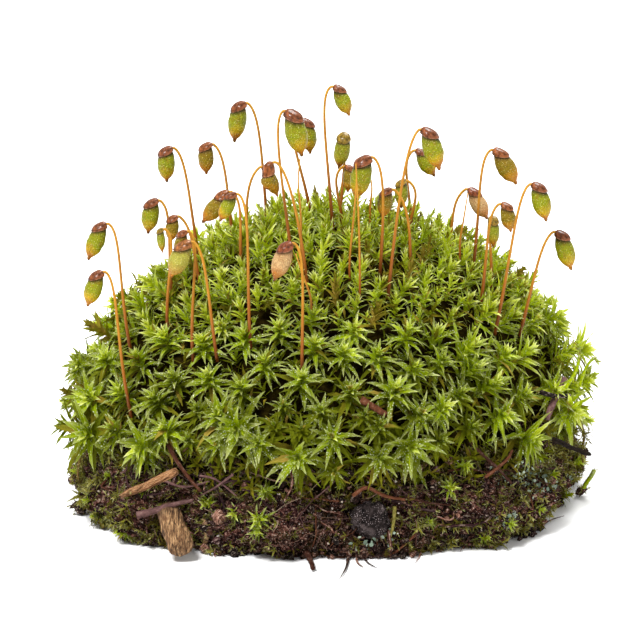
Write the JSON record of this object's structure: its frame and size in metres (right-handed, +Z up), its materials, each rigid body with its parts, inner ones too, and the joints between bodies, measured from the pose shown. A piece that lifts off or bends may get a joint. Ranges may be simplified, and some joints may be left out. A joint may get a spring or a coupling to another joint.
{
  "type": "moss clump",
  "caption": "Dome of leafy moss on a flat-cut clod of soil, with nodding spore capsules on thin hooked stalks, a stone, twigs and bark.",
  "frame": {"origin": "middle of the flat cut underside, which rests on the surface", "axes": "+Z up, -Y to the front that the picture shows, +X to the right seen from the front"},
  "size_m": [0.0673, 0.0618, 0.0527],
  "materials": {
    "moss": "matte",
    "young_shoot": "matte",
    "soil": "matte",
    "stone": "matte",
    "bark": "matte",
    "tan_twig": "matte",
    "dark_twig": "matte",
    "stalk": "satin",
    "capsule": "satin"
  },
  "bodies": {
    "root": {"moss_cushion": "moss", "soil_clod": "soil", "stone": "stone", "bark_stub": "bark", "twig_left": "tan_twig", "twig_right": "dark_twig", "shoot_right_1": "young_shoot", "shoot_right_2": "young_shoot", "stalk_01": "stalk", "capsule_01": "capsule", "stalk_02": "stalk", "capsule_02": "capsule", "stalk_03": "stalk", "capsule_03": "capsule", "stalk_04": "stalk", "capsule_04": "capsule", "stalk_05": "stalk", "capsule_05": "capsule", "stalk_06": "stalk", "capsule_06": "capsule", "stalk_07": "stalk", "capsule_07": "capsule", "stalk_08": "stalk", "capsule_08": "capsule", "stalk_09": "stalk", "capsule_09": "capsule", "stalk_10": "stalk", "capsule_10": "capsule", "stalk_11": "stalk", "capsule_11": "capsule", "stalk_12": "stalk", "capsule_12": "capsule", "stalk_13": "stalk", "capsule_13": "capsule", "stalk_14": "stalk", "capsule_14": "capsule", "stalk_15": "stalk", "capsule_15": "capsule", "stalk_16": "stalk", "capsule_16": "capsule", "stalk_17": "stalk", "capsule_17": "capsule", "stalk_18": "stalk", "capsule_18": "capsule", "stalk_19": "stalk", "capsule_19": "capsule", "stalk_20": "stalk", "capsule_20": "capsule", "stalk_21": "stalk", "capsule_21": "capsule", "stalk_22": "stalk", "capsule_22": "capsule", "stalk_23": "stalk", "capsule_23": "capsule", "stalk_24": "stalk", "capsule_24": "capsule", "stalk_25": "stalk", "capsule_25": "capsule", "stalk_26": "stalk", "capsule_26": "capsule"}
  },
  "joints": []
}
